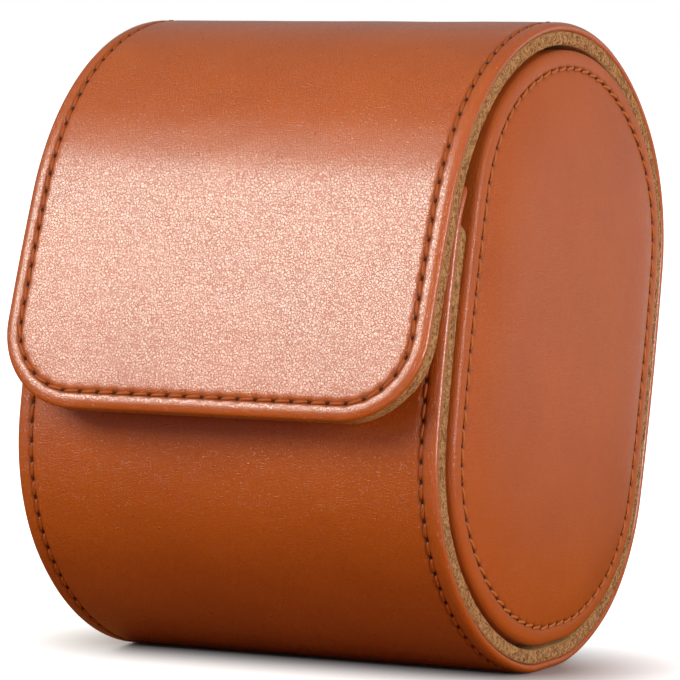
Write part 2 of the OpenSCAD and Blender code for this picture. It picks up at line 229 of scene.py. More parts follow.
def close_rings(thing, firsts, count, outwards=True):
    """Closes each ring of count points with one face; firsts are the numbers of the rings' first points."""
    work = bmesh.new()
    work.from_mesh(thing.data)
    work.verts.ensure_lookup_table()
    for first in firsts:
        work.faces.new([work.verts[first + i] for i in range(count)])
    if outwards:
        bmesh.ops.recalc_face_normals(work, faces=work.faces)
    work.to_mesh(thing.data)
    work.free()


def grid_faces(rows, columns, first=0, closed=False):
    """Four-sided faces between the points of a grid; a closed grid goes round and meets itself."""
    a = np.arange(rows * columns).reshape(rows, columns) + first
    if closed:
        a = np.concatenate([a, a[:, :1]], axis=1)
    return np.stack([a[:-1, :-1], a[:-1, 1:], a[1:, 1:], a[1:, :-1]], axis=-1).reshape(-1, 4)


print("faces of a grid of 3 by 4 points:", len(grid_faces(3, 4)), "or", len(grid_faces(3, 4, closed=True)))

# %% [markdown]
# Leather is never quite flat. A noise texture would move only the shading, so a sum of a few slow waves moves
# the points instead. It has a seed for each use and so comes out the same each time.
#
# A sheet has one free end with round corners. Its grids hold, for each point, the place across the strip, the
# distance from the free end, the inset from the edge and the height. Bending the sheet onto the case is left
# to whoever uses it.

# %% Bands of a sheet
FLAT_POINTS, BIG_CORNER = (29, 15), 8.0  # points across a sheet with small or big corners
QUARTER = 1.57  # length of a quarter turn, for each unit of its radius


def ripple(x, y, size, seed):
    """A quiet unevenness between -1 and 1 with waves of about this size, the same on every run."""
    way = np.random.default_rng(seed)
    total = 0
    for _ in range(6):
        turn, shift = way.uniform(0, 2 * math.pi, 2)
        wave = 2 * math.pi / (size * way.uniform(0.7, 1.5))
        total = total + np.sin(wave * (x * math.cos(turn) + y * math.sin(turn)) + shift)
    return total / 6


def sheet_grids(half, long, corner, profile, step, square=2.0):
    """Grids of (x, t, inset, offset) for a sheet; t is the distance from the end with the round corners."""
    inset = np.array([p[0] for p in profile])
    off = np.array([p[1] for p in profile])
    rows = np.linspace(corner, long, max(2, int((long - corner) / step) + 1))
    across = np.linspace(-(half - corner), half - corner, FLAT_POINTS[corner > BIG_CORNER])
    end = np.linspace(-(half - corner), half - corner, max(2, int(2 * (half - corner) / step) + 1))
    turn = np.linspace(0, math.pi / 2, max(6, int(corner * QUARTER / step) + 1))
    grids = []

    def add(x, t):
        x, t, i, o = np.broadcast_arrays(x, t, inset, off)
        grids.append(np.stack([x, t, i, o], axis=-1))

    for side in (-1, 1):
        add(side * (half - inset), rows[:, None])
        fuller = (np.cos(turn) ** square + np.sin(turn) ** square) ** (-1 / square)
        reach = np.maximum(corner - inset, 0) * fuller[:, None]
        add(side * (half - corner + reach * np.cos(turn[:, None])), corner - reach * np.sin(turn[:, None]))
    add(end[:, None], inset)
    for face in (0, -1):
        x, t = np.meshgrid(across, rows)
        grids.append(np.stack([x, t, np.full_like(x, corner), np.full_like(x, off[face])], axis=-1))
    return grids


def sheet_object(name, grids, place, weld=2e-6):
    """One object of all the grids of a sheet; place turns a grid into places in the scene."""
    points, faces, count = [], [], 0
    for g in grids:
        points.append(place(g).reshape(-1, 3))
        faces.append(grid_faces(g.shape[0], g.shape[1], count))
        count += g.shape[0] * g.shape[1]
    thing = mesh_object(name, np.concatenate(points), np.concatenate(faces), weld)
    print(name, len(thing.data.vertices), "points")
    return thing


print("ripple at the middle of the oval:", round(float(ripple(0.0, 0.0, 17, 3)), 3))

# %% [markdown]
# ## Seams
# A machine seam is a row of holes at an even pitch, with a stitch from each hole to the next. The needle
# pulls the leather down a little at each hole. We work out the holes first, because the leather, the stitches
# and the shadows in the holes all need the same places. A whole number of stitches fits each seam.

# %% Where the holes are
SEAM_IN, PITCH = 2.7, 3.2


def seam_line(half, long, corner, inset):
    """The length of a seam round a sheet, and a function from length along it to its place (x, t)."""
    side, radius = long - corner, corner - inset
    arc, end = radius * math.pi / 2, half - corner
    whole = 2 * (side + arc + end)

    def at(u):
        u = np.asarray(u, float)
        sign = np.where(u < whole / 2, -1.0, 1.0)
        v = np.minimum(u, whole - u)
        turn = np.clip((v - side) / radius, 0, math.pi / 2)
        x = half - corner + radius * np.cos(turn) - np.clip(v - side - arc, 0, None)
        x = np.where(v < side, half - inset, x)
        t = np.where(v < side, long - v, corner - radius * np.sin(turn))
        return sign * x, t

    return whole, at


def seam_holes(whole, at, pitch):
    """Lengths and places of the holes: a whole number of stitches fits the seam."""
    u = np.linspace(0, whole, round(whole / pitch) + 1)
    return u, np.stack(at(u), axis=-1)


def search_tree(places):
    """Finds the nearest of many places quickly."""
    tree = KDTree(len(places))
    for i, at in enumerate(places):
        tree.insert(at, i)
    tree.balance()
    return tree


def pulled_down(x, t, holes, depth, reach):
    """How far the leather is drawn down at each place by the stitches near it."""
    tree = search_tree([(a, b, 0) for a, b in holes])
    near = [tree.find((a, b, 0))[2] for a, b in zip(x.ravel(), t.ravel())]
    return depth * np.exp(-(np.array(near).reshape(x.shape) / reach) ** 2)


whole, at = seam_line(38.0, 120.0, 14.0, SEAM_IN)
print("a sheet of 76 mm by 120 mm needs", len(seam_holes(whole, at, PITCH)[0]), "holes")

# %% [markdown]
# A stitch is a short length of twisted thread that rises out of one hole and dips into the next. A row of
# capsules would lie on the leather like beads, so each stitch is a tube whose height falls off towards both
# ends. All the stitches of a seam are one mesh, which bends with the leather where it folds.

# %% Stitches
STITCH_GAP, TAPER, PLY, FLATTER, SINK = 0.1, 0.55, 0.1, 0.85, 1.4
STEP = 0.01  # millimetres ahead, to find which way a seam runs


def stitches(name, place, at, u, depth, size, slant):
    """One mesh of stitches that dip into their holes; place takes x, t and a height over the leather."""
    rings, sides = 11, 10
    w = np.linspace(-1, 1, rings)
    q = np.linspace(0, 2 * math.pi, sides, endpoint=False)
    points, faces = [], []
    for k in range(len(u) - 1):
        v = (u[k] + u[k + 1]) / 2 + w * ((u[k + 1] - u[k]) / 2 - STITCH_GAP)
        x, t = at(v)
        dx, dt = at(v + STEP)
        run = np.stack([dx - x, dt - t], axis=-1)
        run /= np.linalg.norm(run, axis=-1, keepdims=True)
        thick = size * (1 - TAPER * np.abs(w) ** 6)[:, None] * (1 + PLY * np.cos(2 * q + 5 * w[:, None]))
        lean_over = slant * w[:, None] + thick * np.cos(q)
        px = x[:, None] - run[:, 1:] * lean_over
        pt = t[:, None] + run[:, :1] * lean_over
        high = depth * (1 - np.abs(w) ** 3)[:, None] - SINK * size * (np.abs(w) ** 4)[:, None]
        points.append(place(px, pt, high + FLATTER * thick * np.sin(q)).reshape(-1, 3))
        faces.append(grid_faces(rings, sides, k * rings * sides, closed=True))
    thing = mesh_object(name, np.concatenate(points), np.concatenate(faces))
    print(name, len(u) - 1, "stitches of", round((u[1] - u[0]), 2), "mm")
    return thing


print("a stitch of the wrap has", round(PITCH - 2 * STITCH_GAP, 2), "mm of thread above the leather")

# %% [markdown]
# The leather is painted darker along the seam and darkest at the holes: painted shade in the seam's groove. A
# painted texture would need its own unwrapping. We give each point of the leather a number instead, from how
# near it lies to the seam, and the leather's finish reads it. Each hole also gets a small dark oval at its
# bottom, a painted shadow.

# %% Shade in the seams and holes
LINE_SHARE, HOLE_SHARE, LINE_STEP = 0.6, 0.4, 0.2


def shade_seam(skin, line, holes, reach=0.4):
    """Marks painted shade on the leather by how near its points are to the seam and its holes; reach is in mm.
    """
    share = np.zeros(len(skin.data.vertices))
    for places, weight, far in ((line, LINE_SHARE, reach), (holes, HOLE_SHARE, 1.5 * reach)):
        tree = search_tree(places)
        near = np.array([tree.find(v.co)[2] for v in skin.data.vertices]) / MM
        share += weight * np.exp(-((near / far) ** 2))
    # painted shade: the seam attribute darkens the leather along the seam and at its holes
    skin.data.attributes.new("seam", "FLOAT", "POINT").data.foreach_set("value", share.astype(np.float32))


def hole_shadows(name, place, at, u, long, wide):
    """Dark ovals of painted shadow at the bottom of each needle hole."""
    sides = 12
    q = np.linspace(0, 2 * math.pi, sides, endpoint=False)
    bowl = [(1.0, 0.0), (0.7, 0.05), (0.0, 0.07)]
    points, faces = [], []
    for k in range(1, len(u) - 1):
        x, t = at(np.array([u[k]]))
        dx, dt = at(np.array([u[k] + STEP]))
        run = np.array([dx[0] - x[0], dt[0] - t[0]])
        run /= np.linalg.norm(run)
        for share, high in bowl:
            a, b = long * share * np.cos(q), wide * share * np.sin(q)
            px, pt = x + run[0] * a - run[1] * b, t + run[1] * a + run[0] * b
            points.append(place(px, pt, np.full(sides, high)).reshape(-1, 3))
        faces.append(grid_faces(len(bowl), sides, (k - 1) * len(bowl) * sides, closed=True))
    return mesh_object(name, np.concatenate(points), np.concatenate(faces), weld=1e-6)


print("seam shade:", LINE_SHARE, "along the line and", HOLE_SHARE, "more at the holes")

# %% [markdown]
# ## The leather of the wrap
# On the real case thin leather is turned over a board and sewn down, so its edge is round and a little fuller
# than the rest, with the seam in a shallow groove beside it. The strip is made as two sheets that meet on the
# crown of the lid, so that each one crosses only one fold.

# %% Sheets of leather
STRIP_WIDE = 76.0
HALF = STRIP_WIDE / 2
BACK, EDGE_R, ROUND, GROOVE, GROOVE_WIDE = 3.0, 0.75, 1.5, 0.3, 0.36
PULL, PULL_REACH, FACE_DEEP = 0.16, 0.62, 0.7


def turned_edge(corner):
    """Insets and heights of the leather from the middle over the seam's groove and round the turned edge."""
    far = [7.5, 6.0, 5.0, 4.4] if corner > BIG_CORNER else []
    outer = [corner] + far + [3.8, 3.4, 3.15, 2.95, 2.8, 2.7, 2.6, 2.45, 2.25, 2.0, 1.7]
    profile = [(i, FACE - GROOVE * math.exp(-abs((i - SEAM_IN) / GROOVE_WIDE) ** 1.5)) for i in outer]
    for radius, turns in ((ROUND, range(80, -1, -10)), (EDGE_R, range(-18, -91, -18))):
        for turn in map(math.radians, turns):
            profile.append((radius - radius * math.cos(turn), FACE - EDGE_R + EDGE_R * math.sin(turn)))
    return profile + [(1.6, BACK), (corner, BACK)]


def leather_sheet(name, long, corner, place_along, square=2.0):
    """A sheet with its stitches and the painted shadows in its holes; place_along turns a distance from its
    free end into a length.
    """
    whole, at = seam_line(HALF, long, corner, SEAM_IN)
    u, holes = seam_holes(whole, at, PITCH)

    def height(x, t, inset, off):
        on_face = off > FACE - FACE_DEEP
        near = (np.abs(inset - SEAM_IN) < 1.6) & on_face
        drawn = np.zeros(x.shape)
        drawn[near] = pulled_down(x[near], t[near], holes, PULL, PULL_REACH)
        wave = 0.05 * ripple(x, t, 17, 3) + 0.03 * ripple(x, t, 7, 5)
        return off - drawn + wave * on_face * np.clip(inset / 4, 0, 1)

    def place(g):
        x, t, inset, off = np.moveaxis(g, -1, 0)
        y, z = along_strip(place_along(t), height(x, t, inset, off))
        return leaned(x, y, z)

    def on_seam(x, t, high):
        y, z = along_strip(place_along(t), FACE - GROOVE + high)
        return leaned(x, y, z)

    skin = sheet_object(name, sheet_grids(HALF, long, corner, turned_edge(corner), 0.5, square), place)
    thread = stitches(name + "_seam", on_seam, at, u, depth=0.14, size=0.3, slant=0.14)
    hole_shadows_seen = hole_shadows(name + "_hole_shadows", on_seam, at, u, long=0.42, wide=0.26)
    line = at(np.linspace(0, whole, round(whole / LINE_STEP)))
    shade_seam(skin, on_seam(*line, 0.0), on_seam(*at(u), 0.0))
    return skin, thread, hole_shadows_seen


PANEL_CORNER, FLAP_CORNER, SQUARE = 4.0, 14.0, 8.0
wrap_skin, wrap_thread, wrap_hole_shadows = leather_sheet("wrap_leather", s_cut, PANEL_CORNER, lambda t: t, SQUARE)
flap_long = starts[-1] - s_cut
flap_skin, flap_thread, flap_hole_shadows = leather_sheet(
    "flap_leather_cover", flap_long, FLAP_CORNER, lambda t: starts[-1] - t)

# %% [markdown]
# ## The suede lining
# Under the leather lies a thick split suede, cut flush with the edge and left raw, so its edge shows round
# the mouth of the case as a furry band. It is the same kind of sheet with a square profile. Its cut edge is
# roughened by moving its points, because a bump map alone leaves a knife-sharp outline.

# %% Sheets of suede
def raw_edge(corner, inner, outer):
    """Insets and heights round the cut edge of the suede, from its glued face to its napped face."""
    top = [(i, outer) for i in (corner, 3.0, 1.4, 0.6)]
    edge = [(0.25, outer - 0.04), (0.2, outer - 0.4), (0.17, outer - 0.8)]
    edge += [(0.17, inner + 0.8), (0.2, inner + 0.4), (0.28, inner + 0.08)]
    return top + edge + [(i, inner) for i in (0.7, 1.5, 3.0, corner)]


def suede_sheet(name, long, corner, place_along, inner=0.74, outer=2.98):
    """A sheet of suede from inner to outer over the oval, with a rough cut edge."""
    def place(g):
        x, t, inset, off = np.moveaxis(g, -1, 0)
        cut = np.clip(1.2 - inset, 0, 1)
        rough = 0.07 * ripple(x + 3 * off, t + 2 * off, 1.3, 11) + 0.05 * ripple(x + 5 * off, t, 3.5, 12)
        x = x - np.sign(x) * cut * (rough - 0.16) * (np.abs(x) > HALF - 3)
        y, z = along_strip(place_along(t), off - 0.04 * cut * ripple(x, t, 1.1, 13))
        return leaned(x, y, z)

    return sheet_object(name, sheet_grids(HALF, long, corner, raw_edge(corner, inner, outer), 0.5), place)


SUEDE_SHORT = 5.3  # how far below the panel's top edge the suede ends
wrap_suede = suede_sheet("wrap_suede", s_cut - SUEDE_SHORT, 3.2, lambda t: t + SUEDE_SHORT)
flap_suede = suede_sheet("flap_suede", flap_long, FLAP_CORNER, lambda t: starts[-1] - t)

# %% [markdown]
# ## The end caps
# An end cap is a board with foam on it, covered in leather that is drawn round the edge and sewn near the
# rim, so the foam swells up inside the seam. A sphere or a bevelled disc would lose the oval, so the cap is
# built from rings: every contour is the oval at an inset, with a chosen number of points on each of its arcs.

# %% Contours of the cap
CAP_FACE, CAP_BACK, ROLL, BORDER, RISE = 39.0, 33.5, 1.2, 3.6, 1.8
STEPS = [26, 10, 17, 10] * 2


def oval_ring(inset, finer=1):
    """Places y and z round the oval at an inset, always with the same number of points."""
    places = []
    for (centre, r, a, b), steps in zip(OVAL, STEPS):
        q = np.linspace(a, b, steps * finer, endpoint=False)
        places.append(centre + (r - inset) * toward(q))
    at = np.concatenate(places)
    y, z = on_foot(at[:, 0], at[:, 1], -inset)
    return np.stack([y, z], axis=-1)


def panel_rings(finer=1):
    """Rings from the seam of the cap to its middle: insets first, then smaller copies of the last of them."""
    insets = np.concatenate([np.linspace(BORDER, 9, 10), np.linspace(10.5, 21, 8)])
    rings = [oval_ring(i, finer) for i in insets]
    return rings + [rings[-1] * k for k in np.linspace(0.9, 0.04, 9)]


print("panel of a cap:", len(panel_rings()), "rings of", sum(STEPS), "points")

# %% [markdown]
# ## How far the foam swells
# We could guess a dome, but leather over foam rises fast at its seam and then stays almost flat, and cloth
# does that by itself. The panel is held at its seam and pressed outwards as foam would press it, and the
# result is written into the mesh. Cloth behaves best at about the size of clothes, so it is made ten times as
# large, at a centimetre for each millimetre. Foam then presses the middle flat, which a smooth limit does.

# %% Swell of the panel
CLOTH_SCALE = 0.01


def inflated(thing, held, pressure, frames, tension, compression, bending):
    """Where the points of a closed skin end when pressure swells it; the points in held stay in place."""
    thing.vertex_groups.new(name="seam").add(held, 1.0, "REPLACE")
    cloth = thing.modifiers.new("cloth", "CLOTH")
    cloth.settings.quality = 6
    cloth.settings.vertex_group_mass = "seam"
    cloth.settings.tension_stiffness = tension
    cloth.settings.compression_stiffness = compression
    cloth.settings.bending_stiffness = bending
    cloth.settings.use_pressure = True
    cloth.settings.uniform_pressure_force = pressure
    cloth.settings.effector_weights.gravity = 0
    cloth.point_cache.frame_start, cloth.point_cache.frame_end = 1, frames
    for step in range(1, frames + 1):
        bpy.context.scene.frame_set(step)
    shape = thing.evaluated_get(bpy.context.evaluated_depsgraph_get()).data
    moved = np.array([v.co for v in shape.vertices]) / CLOTH_SCALE
    bpy.context.scene.frame_set(1)
    bpy.data.objects.remove(thing)
    return moved


def swell_of_panel():
    """Height of the padded middle over the border at each ring and point, from a cloth simulation."""
    rings = panel_rings()
    count = len(rings[0])
    start = [0.004 * min(1, k / 3) for k in range(len(rings))]
    points = [(*p * CLOTH_SCALE, high) for ring, high in zip(rings, start) for p in ring]
    panel = mesh_object("cap_cloth", points, grid_faces(len(rings), count, closed=True))
    close_rings(panel, [(len(rings) - 1) * count], count, outwards=False)
    held = list(range(count))
    moved = inflated(panel, held, pressure=-20, frames=24, tension=40, compression=20, bending=0.6)
    high = moved[: len(points), 2].reshape(len(rings), count)
    print("cap cloth rises", round(float(high.max()), 2), "mm")
    return high


def settled(high):
    """The cloth's rise brought down to what the foam allows; a larger FLATNESS gives a flatter middle."""
    share = high / max(high.max(), 1e-6)
    return RISE * np.tanh(FLATNESS * share) / math.tanh(FLATNESS)


FLATNESS = 3
swell = settled(swell_of_panel())
print("the cap's middle is", round(float(swell.max()), 2), "mm over its border")

# %% [markdown]
# ## Leather of the caps
# The leather goes from the back of the board round its wall and its rolled edge to the border, the seam and
# the swollen panel, and the rings follow it all the way.

# %% Contours of the cap's leather
CAP_SEAM, CAP_GROOVE, CAP_GROOVE_WIDE = 3.0, 0.22, 0.3


def cap_contours():
    """Insets and places along the case, from the back of the cap's wall to the border inside its seam."""
    inner = [(1.0, CAP_BACK + 0.25), (0.6, CAP_BACK), (0.25, CAP_BACK)]
    wall = [(0.0, x) for x in (CAP_BACK, 35.0, 36.5, CAP_FACE - ROLL)]
    turns = np.radians([15, 30, 45, 60, 75, 90])
    roll = [(ROLL - ROLL * math.cos(a), CAP_FACE - ROLL + ROLL * math.sin(a)) for a in turns]
    border = [(1.7, CAP_FACE + 0.04), (2.2, CAP_FACE + 0.03)]
    for d in (-0.5, -0.3, -0.15, 0, 0.15, 0.3):
        border.append((CAP_SEAM + d, CAP_FACE - CAP_GROOVE * math.exp(-((d / CAP_GROOVE_WIDE) ** 2))))
    return inner + wall + roll + border


print("cap leather:", len(cap_contours()), "rings outside the panel")

# %% [markdown]
# The rings are now four times as fine round the oval as the cloth was, so that there are points for each
# stitch to pull at. The seam has slanted stitches of a lighter thread. Both caps come from one function, the
# left one as the right one's mirror image.

# %% Cap leather and its stitches
CAP_PITCH, CAP_PULL, CAP_PULL_REACH, CAP_SEAM_DEEP = 3.0, 0.14, 0.6, 0.18


def finer_round(values, finer):
    """Values round a ring, filled in evenly to more points."""
    n = values.shape[-1]
    at = np.arange(n * finer) / finer
    return np.stack([np.interp(at, np.arange(n + 1), np.append(row, row[0])) for row in values])


def cap_pieces(name, side):
    """The leather of the cap, its stitches and the painted shadows in its holes; side is 1 for the right cap
    and -1 for the left.
    """
    finer = 4
    seam = oval_ring(CAP_SEAM, finer)
    step = np.linalg.norm(np.roll(seam, -1, axis=0) - seam, axis=1)
    run = np.concatenate([[0], np.cumsum(step)])
    whole = run[-1]
    loop = np.concatenate([seam, seam[:1]])

    def at(u):
        u = np.mod(u, whole)
        return np.interp(u, run, loop[:, 0]), np.interp(u, run, loop[:, 1])

    holes_at = np.linspace(0, whole, round(whole / CAP_PITCH) + 1)
    holes = np.stack(at(holes_at[:-1]), axis=-1)
    rows = []
    for i, high in cap_contours():
        ring = oval_ring(i, finer)
        near = high > CAP_FACE - 0.3
        drawn = pulled_down(ring[:, 0], ring[:, 1], holes, CAP_PULL, CAP_PULL_REACH) if near else 0
        rows.append(np.column_stack([high - drawn + np.zeros(len(ring)), ring]))
    for ring, h in zip(panel_rings(finer), finer_round(swell, finer)):
        drawn = pulled_down(ring[:, 0], ring[:, 1], holes, CAP_PULL, CAP_PULL_REACH)
        uneven = 0.05 * ripple(ring[:, 0], ring[:, 1], 22, 21)
        rows.append(np.column_stack([CAP_FACE + h - drawn + uneven * (h > 0.2), ring]))
    count = len(rows[0])
    places = np.concatenate([leaned(side * r[:, 0], r[:, 1], r[:, 2]) for r in rows])
    skin = mesh_object(name + "_padded", places, grid_faces(len(rows), count, closed=True))
    close_rings(skin, [(len(rows) - 1) * count], count)
    skin.data.shade_smooth()

    def on_cap(y, z, h):
        return leaned(side * (CAP_FACE - CAP_SEAM_DEEP + h), y, z)

    line = at(np.linspace(0, whole, round(whole / LINE_STEP)))
    shade_seam(skin, on_cap(*line, 0.0), on_cap(*at(holes_at), 0.0))
    thread = stitches(name + "_seam", on_cap, at, holes_at, depth=0.16, size=0.27, slant=0.26 * side)
    all_round = np.append(holes_at, holes_at[-1] + 1)
    shadow_pits = hole_shadows(name + "_hole_shadows", on_cap, at, all_round, long=0.4, wide=0.24)
    return skin, thread, shadow_pits


right_cap = cap_pieces("right_cap", 1)
left_cap = cap_pieces("left_cap", -1)

# %% [markdown]
# ## Inside the case
# The tub's board is covered with thin suede that is turned over its upper edges. A solidify modifier on a
# plain sheet would leave sharp rims, so the tub is a closed section with round ends, carried from one side of
# the case to the other. It looks soft where its rim catches the light.

# %% Tub
TUB_FRONT, TUB_BACK, TUB_HALF = 10.0, 20.0, 33.46
TUB_INNER, TUB_OUTER = -1.4, 0.86


def tub_path(n):
    """Lengths along the strip from the tub's front edge down and round to its back edge."""
    s = np.linspace(starts[0], s_hinge, 4000)
    y, z = along_strip(s, -0.1)
    front = (y < 0) & (z < TUB_FRONT)
    back = (y > 0) & (z < TUB_BACK)
    keep = s[front | back]
    return np.linspace(keep[0], keep[-1], n)


def tub_cover():
    """One section through board and suede, carried from one side of the tub to the other."""
    mid, r = (TUB_INNER + TUB_OUTER) / 2, (TUB_OUTER - TUB_INNER) / 2
    s = tub_path(220)
    turns = np.radians(np.arange(-80, 81, 20))
    loop = [(s[0] + r - r * math.cos(a), mid + r * math.sin(a)) for a in turns]
    loop += [(v, TUB_OUTER) for v in s[3:-3]]
    loop += [(s[-1] - r + r * math.cos(a), mid + r * math.sin(a)) for a in turns[::-1]]
    loop += [(v, TUB_INNER) for v in s[-4:2:-1]]
    loop = np.array(loop)
    wide = np.linspace(-TUB_HALF, TUB_HALF, 40)
    sections = []
    for x in wide:
        y, z = along_strip(loop[:, 0], loop[:, 1] + 0.03 * ripple(loop[:, 0], x, 9, 31))
        sections.append(leaned(x, y, z))
    print("tub cover:", len(loop), "points round its section,", round(s[-1] - s[0], 1), "mm along")
    return mesh_object("tub_suede", np.concatenate(sections), grid_faces(len(wide), len(loop), closed=True))


tub_suede = tub_cover()

# %% [markdown]
# Inside the case a suede disc hides the turned-in leather at the back of each end cap. It is made of rings of
# the oval too, with a small round edge.

# %% Suede discs of the caps
def cap_disc(name, side):
    """A thin suede disc with a round edge at the back of a cap."""
    rings, edge = [], 0.36
    for a in np.radians([-90, -60, -30, 0, 30, 60, 90]):
        rings.append((0.66 + edge - edge * math.cos(a), CAP_BACK + 0.4 - edge * math.sin(a)))
    rings += [(i, CAP_BACK + 0.04 - 0.25 * min(1, (i - 1) / 9)) for i in (1.6, 3, 5, 8, 12, 18)]
    rows = [np.column_stack([np.full(sum(STEPS), h), oval_ring(i)]) for i, h in rings]
    last = rows[-1]
    rows += [np.column_stack([last[:, 0], last[:, 1:] * k]) for k in (0.75, 0.5, 0.25, 0.02)]
    count = len(last)
    places = np.concatenate([leaned(side * r[:, 0], r[:, 1], r[:, 2]) for r in rows])
    print(name, len(rows), "rings")
    return mesh_object(name, places, grid_faces(len(rows), count, closed=True))


right_disc = cap_disc("right_cap_suede", 1)
left_disc = cap_disc("left_cap_suede", -1)

# %% [markdown]
# ## The cushion
# The strap closes round an oval cushion of foam in a sewn suede cover. It is a drum between two end panels,
# with a seam round each. Its section is an oval of arcs like the case's own, and its rows go from the middle
# of one end panel round the seam and along the drum to the other end panel.

# %% Section and rows of the cushion
CUSHION_Z, CUSHION_HALF = -14.889, 32.7
CUSHION_CROWN, CUSHION_SIDE, CUSHION_CORNER = 30.0, 120.0, 20.0
CUSHION_DEEP, CUSHION_HIGH = 26.5, 32.0
DRUM_END = CUSHION_HALF - 5.5


def cushion_ring(inset):
    """Places y and z round the cushion's section at an inset."""
    crown_at = np.array([0.0, CUSHION_HIGH - CUSHION_CROWN])
    side_at = np.array([CUSHION_DEEP - CUSHION_SIDE, 0.0])
    corner_at = meeting(crown_at, CUSHION_CROWN - CUSHION_CORNER, side_at, CUSHION_SIDE - CUSHION_CORNER)
    turn = math.degrees(math.atan2(corner_at[0], corner_at[1] - crown_at[1]))
    bend = math.degrees(math.atan2(corner_at[0] - side_at[0], corner_at[1]))
    arcs = [(crown_at, CUSHION_CROWN, 0, turn)]
    arcs += [(corner_at, CUSHION_CORNER, turn, bend), (side_at, CUSHION_SIDE, bend, 90)]
    spread = [c + (r - inset) * toward(np.linspace(a, b, 8, endpoint=False)) for c, r, a, b in arcs]
    places = np.concatenate(spread)
    back = places * (1, -1)
    half = np.concatenate([places, [[CUSHION_DEEP - inset, 0]], back[:0:-1]])
    ring = np.concatenate([half, [[0, -(CUSHION_HIGH - inset)]], (half * (-1, 1))[:0:-1]])
    return ring + (0, CUSHION_Z)


def cushion_rows():
    """Rows of (x, inset) from the middle of one end panel round its seam and along the drum to the other."""
    ends = [(CUSHION_HALF - 0.9, i) for i in (17.0, 12.0, 8.0, 5.0)]
    ends += [(CUSHION_HALF - d, i) for d, i in ((1.0, 3.4), (1.5, 2.2), (2.3, 1.4), (3.4, 1.0))]
    drum = [(x, 0.9) for x in np.linspace(DRUM_END, -DRUM_END, 27)]
    return [(-x, i) for x, i in ends] + [(-x, i) for x, i in drum] + [(x, i) for x, i in ends[::-1]]


print("cushion:", len(cushion_rows()), "rows of", len(cushion_ring(0)), "points")

# %% [markdown]
# The cover is simulated as cloth blown up by its filling while the two seams hold it, so the drum crowns and
# the end panels bulge. Then the swell is limited to what the tub leaves room for, and a subdivision rounds
# off the rows.

# %% Cushion
SWELL_LIMIT, SEAM_ROW, SEAM_PINCH = 0.9, 6, 0.985


def made_cushion():
    """The cover of the cushion, swollen between its seams, which pull in a little."""
    rows, count = len(cushion_rows()), len(cushion_ring(0))
    rings = [np.column_stack([np.full(count, x), cushion_ring(i)]) for x, i in cushion_rows()]
    points = np.concatenate(rings)
    faces = grid_faces(rows, count, closed=True)
    ends, seams = (0, (rows - 1) * count), (SEAM_ROW, rows - 1 - SEAM_ROW)
    moved = points.copy()
    body = mesh_object("cushion_cloth", points * CLOTH_SCALE, faces)
    close_rings(body, ends, count)
    held = [row * count + i for row in seams for i in range(count)]
    moved = inflated(body, held, pressure=3.0, frames=20, tension=25, compression=25, bending=0.8)
    way = moved - points
    far = np.linalg.norm(way, axis=1, keepdims=True)
    way = way * np.tanh(far / SWELL_LIMIT) * SWELL_LIMIT / np.maximum(far, 1e-9)
    kept = np.linalg.norm(way, axis=1).max()
    print("cushion cloth moved up to", round(float(far.max()), 2), "mm, kept", round(float(kept), 2))
    shape = (points + way).reshape(rows, count, 3)
    for row in seams:
        middle = shape[row].mean(axis=0)
        shape[row] = middle + (shape[row] - middle) * (1, SEAM_PINCH, SEAM_PINCH)
    cushion = mesh_object("cushion_padded", leaned(*shape.reshape(-1, 3).T), faces)
    close_rings(cushion, ends, count)
    rounder = cushion.modifiers.new("rounder", "SUBSURF")
    rounder.levels = rounder.render_levels = 2
    cushion.data.shade_smooth()
    return cushion


cushion = made_cushion()

# %% [markdown]
# ## What each piece is made of
# Every finish is procedural. An image would need unwrapping, and its grain would stretch over the turned
# edges, while a texture in object coordinates has the same real size, in metres, all over a piece. The
# finishes share a few short ways to add a noise, cells, a mix or a bump to one shader.

# %% Node helpers
def linear(v):
    return v / 12.92 if v <= 0.04045 else ((v + 0.055) / 1.055) ** 2.4


def srgb(r, g, b):
    """A colour as it is picked on screen, from 0 to 255, as Blender wants it."""
    return (linear(r / 255), linear(g / 255), linear(b / 255), 1.0)


